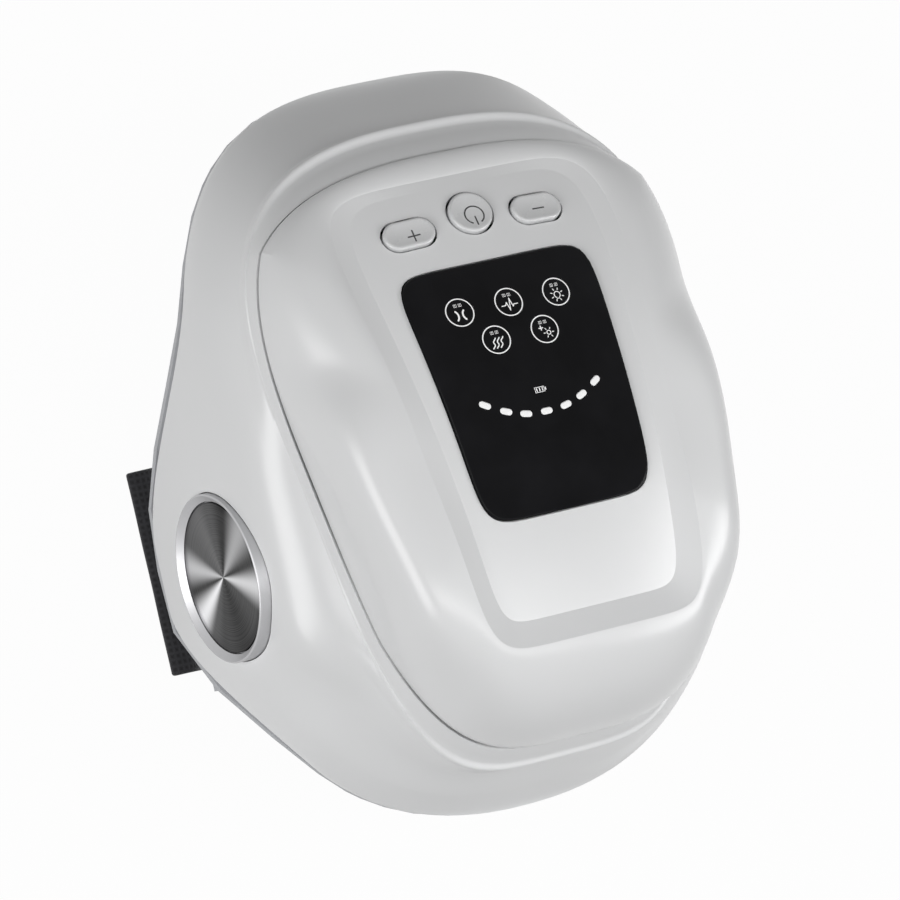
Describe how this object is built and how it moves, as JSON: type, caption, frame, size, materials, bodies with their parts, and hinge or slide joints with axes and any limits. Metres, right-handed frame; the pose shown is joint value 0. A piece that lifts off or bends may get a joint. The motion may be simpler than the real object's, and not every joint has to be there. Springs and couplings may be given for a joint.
{
  "type": "electric knee massager",
  "caption": "Shield-shaped knee massager: domed shell with display and buttons, side wings with turned discs, padded leg side and textile strap.",
  "frame": {"origin": "centre of the footprint at the strap's underside", "axes": "+Z out of the front, +Y along the leg towards the thigh end, +X across, to the right seen from the front"},
  "size_m": [0.1646, 0.22, 0.1378],
  "materials": {
    "white_shell": "gloss",
    "display_panel": "high gloss",
    "button_caps": "gloss",
    "bezel_metal": "bright turned",
    "turned_metal": "turned",
    "strap_textile": "woven",
    "cushion_textile": "knitted",
    "leg_lining": "satin",
    "heater": "matt",
    "red_window": "gloss",
    "frame_plastic": "matt",
    "board": "satin",
    "dark_plastic": "matt",
    "cell_wrap": "satin",
    "steel": "brushed",
    "weight_brass": "turned",
    "soft_rubber": "matt",
    "hook_tape": "rough",
    "tube_plastic": "satin"
  },
  "bodies": {
    "body": {"air_cushion_left": "cushion_textile", "air_cushion_right": "cushion_textile", "battery_cell_left": "cell_wrap", "battery_cell_right": "cell_wrap", "battery_holder": "dark_plastic", "bezel_left": "bezel_metal", "bezel_right": "bezel_metal", "button_board": "board", "charge_board": "board", "charging_port": "steel", "cushion_tube_left": "tube_plastic", "cushion_tube_right": "tube_plastic", "display_board": "board", "display_lens": "display_panel", "frame_screw_shin_left": "steel", "frame_screw_shin_right": "steel", "frame_screw_thigh_left": "steel", "frame_screw_thigh_right": "steel", "front_cover": "white_shell", "heat_pad": "heater", "hook_patch": "hook_tape", "inner_frame": "frame_plastic", "inner_lining": "leg_lining", "led_board": "board", "light_window": "red_window", "main_board": "board", "main_shell": "white_shell", "minus_switch": "dark_plastic", "motor_mount_left": "soft_rubber", "motor_mount_right": "soft_rubber", "plus_switch": "dark_plastic", "power_switch": "dark_plastic", "pump_body": "steel", "pump_head": "dark_plastic", "strap": "strap_textile", "strap_bar_left": "steel", "strap_bar_right": "steel", "supply_tube_left": "tube_plastic", "supply_tube_right": "tube_plastic", "turned_disc_left": "turned_metal", "turned_disc_right": "turned_metal", "valve_left": "tube_plastic", "valve_right": "tube_plastic", "vibration_motor_left": "steel", "vibration_motor_right": "steel"},
    "power_cap": {"power_button": "button_caps"},
    "plus_cap": {"plus_button": "button_caps"},
    "minus_cap": {"minus_button": "button_caps"},
    "left_weight": {"vibration_weight_left": "weight_brass"},
    "right_weight": {"vibration_weight_right": "weight_brass"}
  },
  "joints": [
    {"name": "power_press", "type": "slide", "parent": "body", "child": "power_cap", "axis": [0, -0.424, -0.9056], "range_m": [0, 0.0008], "stiffness_N_per_m": 400, "springref_m": -0.0008},
    {"name": "plus_press", "type": "slide", "parent": "body", "child": "plus_cap", "axis": [0.0687, -0.4143, -0.9076], "range_m": [0, 0.0008], "stiffness_N_per_m": 400, "springref_m": -0.0008},
    {"name": "minus_press", "type": "slide", "parent": "body", "child": "minus_cap", "axis": [-0.0687, -0.4143, -0.9076], "range_m": [0, 0.0008], "stiffness_N_per_m": 400, "springref_m": -0.0008},
    {"name": "left_weight_spin", "type": "hinge", "parent": "body", "child": "left_weight", "pos_m": [-0.056, -0.014, 0.077], "axis": [0, 1, 0], "continuous": true},
    {"name": "right_weight_spin", "type": "hinge", "parent": "body", "child": "right_weight", "pos_m": [0.056, -0.014, 0.077], "axis": [0, 1, 0], "continuous": true}
  ]
}
